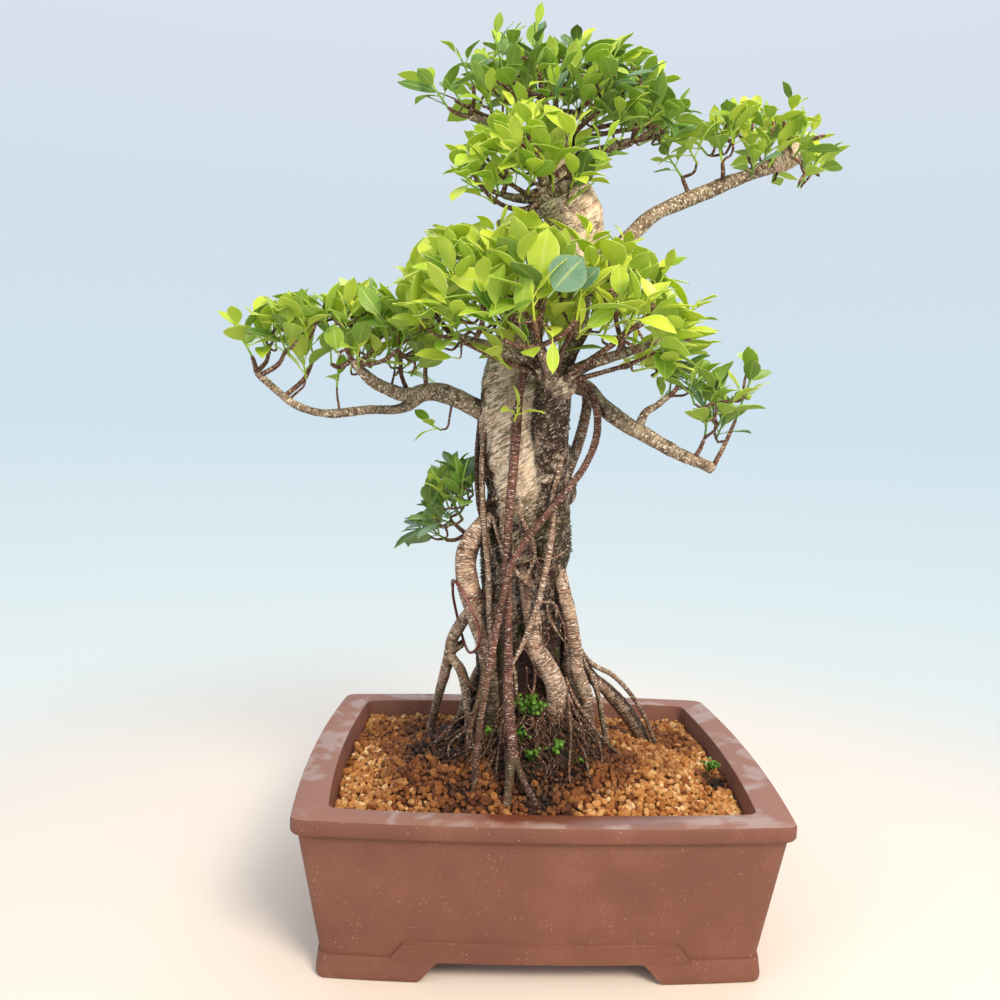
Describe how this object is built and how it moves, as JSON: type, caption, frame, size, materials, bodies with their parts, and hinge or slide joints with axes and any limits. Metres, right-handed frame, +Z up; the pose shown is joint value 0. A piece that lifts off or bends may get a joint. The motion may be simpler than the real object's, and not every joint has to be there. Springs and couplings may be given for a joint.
{
  "type": "potted ficus bonsai",
  "caption": "Ficus bonsai tree with braided aerial roots and leafy crowns, growing in gritty soil in a rectangular footed stoneware pot that stands on a flat surface.",
  "frame": {"origin": "middle of the pot's footprint, on the surface that its feet stand on", "axes": "+X along the pot's long side, to the right in the picture; +Y away from the front; +Z up"},
  "size_m": [0.6056, 0.36, 0.8812],
  "materials": {
    "stoneware": "satin",
    "soil": "matte",
    "plastic_mesh": "matte",
    "bark": "matte",
    "leaf": "satin",
    "wire_coating": "satin"
  },
  "bodies": {
    "root": {"pot": "stoneware", "soil": "soil", "drain_mesh_left": "plastic_mesh", "drain_mesh_right": "plastic_mesh", "tree_wood": "bark", "training_wire": "wire_coating", "shoot_back_01": "leaf", "shoot_back_02": "leaf", "shoot_front_01": "leaf", "shoot_front_02": "leaf", "shoot_front_03": "leaf", "shoot_front_04": "leaf", "shoot_front_05": "leaf", "shoot_front_06": "leaf", "shoot_left_01": "leaf", "shoot_left_02": "leaf", "shoot_left_03": "leaf", "shoot_left_04": "leaf", "shoot_left_05": "leaf", "shoot_left_06": "leaf", "shoot_left_07": "leaf", "shoot_left_08": "leaf", "shoot_left_09": "leaf", "shoot_left_10": "leaf", "shoot_left_11": "leaf", "shoot_lower_01": "leaf", "shoot_lower_02": "leaf", "shoot_lower_03": "leaf", "shoot_mid_01": "leaf", "shoot_mid_02": "leaf", "shoot_mid_03": "leaf", "shoot_mid_04": "leaf", "shoot_mid_05": "leaf", "shoot_mid_06": "leaf", "shoot_mid_07": "leaf", "shoot_mid_08": "leaf", "shoot_mid_09": "leaf", "shoot_mid_10": "leaf", "shoot_mid_11": "leaf", "shoot_mid_12": "leaf", "shoot_mid_13": "leaf", "shoot_mid_14": "leaf", "shoot_mid_15": "leaf", "shoot_mid_16": "leaf", "shoot_right_01": "leaf", "shoot_right_02": "leaf", "shoot_right_03": "leaf", "shoot_right_04": "leaf", "shoot_right_05": "leaf", "shoot_top_01": "leaf", "shoot_top_02": "leaf", "shoot_top_03": "leaf", "shoot_top_04": "leaf", "shoot_top_05": "leaf", "shoot_top_06": "leaf", "shoot_top_07": "leaf", "shoot_top_08": "leaf", "shoot_top_09": "leaf", "shoot_top_10": "leaf", "shoot_top_11": "leaf"}
  },
  "joints": []
}
